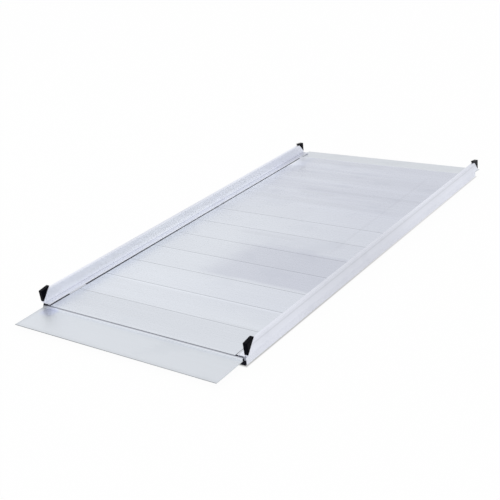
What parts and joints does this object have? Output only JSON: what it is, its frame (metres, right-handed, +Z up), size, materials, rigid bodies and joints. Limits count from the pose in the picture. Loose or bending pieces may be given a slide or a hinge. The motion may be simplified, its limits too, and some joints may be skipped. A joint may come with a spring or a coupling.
{
  "type": "one-piece wheelchair ramp",
  "caption": "Long flat wheelchair ramp of crosswise hollow aluminium planks between two low curbed side rails, with a hinged approach flap, a sloping top lip and black curb end caps.",
  "frame": {"origin": "on the ground under the middle of the ramp's outer box, the ramp lying flat on its two side rails", "axes": "+X across the ramp to the right of someone going up it, +Y along it from the hinged flap to the top lip, +Z up"},
  "size_m": [1.0074, 2.1122, 0.0921],
  "materials": {
    "deck_aluminium": "mill-finish extrusion, satin, faint marks across the deck",
    "rail_aluminium": "mill-finish extrusion, satin, drawn lengthwise",
    "plate_aluminium": "mill-finish plate, satin",
    "weld_metal": "rippled weld bead",
    "black_plastic": "glossy black moulding",
    "pin_steel": "plain rolled steel"
  },
  "bodies": {
    "ramp": {"left_side_rail": "rail_aluminium", "right_side_rail": "rail_aluminium", "plank_01": "deck_aluminium", "plank_02": "deck_aluminium", "plank_03": "deck_aluminium", "plank_04": "deck_aluminium", "plank_05": "deck_aluminium", "plank_06": "deck_aluminium", "plank_07": "deck_aluminium", "plank_08": "deck_aluminium", "plank_09": "deck_aluminium", "plank_10": "deck_aluminium", "plank_11": "deck_aluminium", "plank_12": "deck_aluminium", "front_hinge_rail": "deck_aluminium", "top_lip": "plate_aluminium", "front_left_curb_cap": "black_plastic", "front_right_curb_cap": "black_plastic", "rear_left_curb_cap": "black_plastic", "rear_right_curb_cap": "black_plastic", "front_left_rail_plug": "black_plastic", "front_right_rail_plug": "black_plastic", "rear_left_rail_plug": "black_plastic", "rear_right_rail_plug": "black_plastic", "front_left_weld": "weld_metal", "front_right_weld": "weld_metal", "rear_left_weld": "weld_metal", "rear_right_weld": "weld_metal"},
    "flap": {"approach_flap": "plate_aluminium", "left_hinge_pin": "pin_steel", "right_hinge_pin": "pin_steel"}
  },
  "joints": [
    {"name": "flap_hinge", "type": "hinge", "parent": "ramp", "child": "flap", "pos_m": [0, -0.9051, 0.0248], "axis": [-1, 0, 0], "range_deg": [-12, 82]}
  ]
}
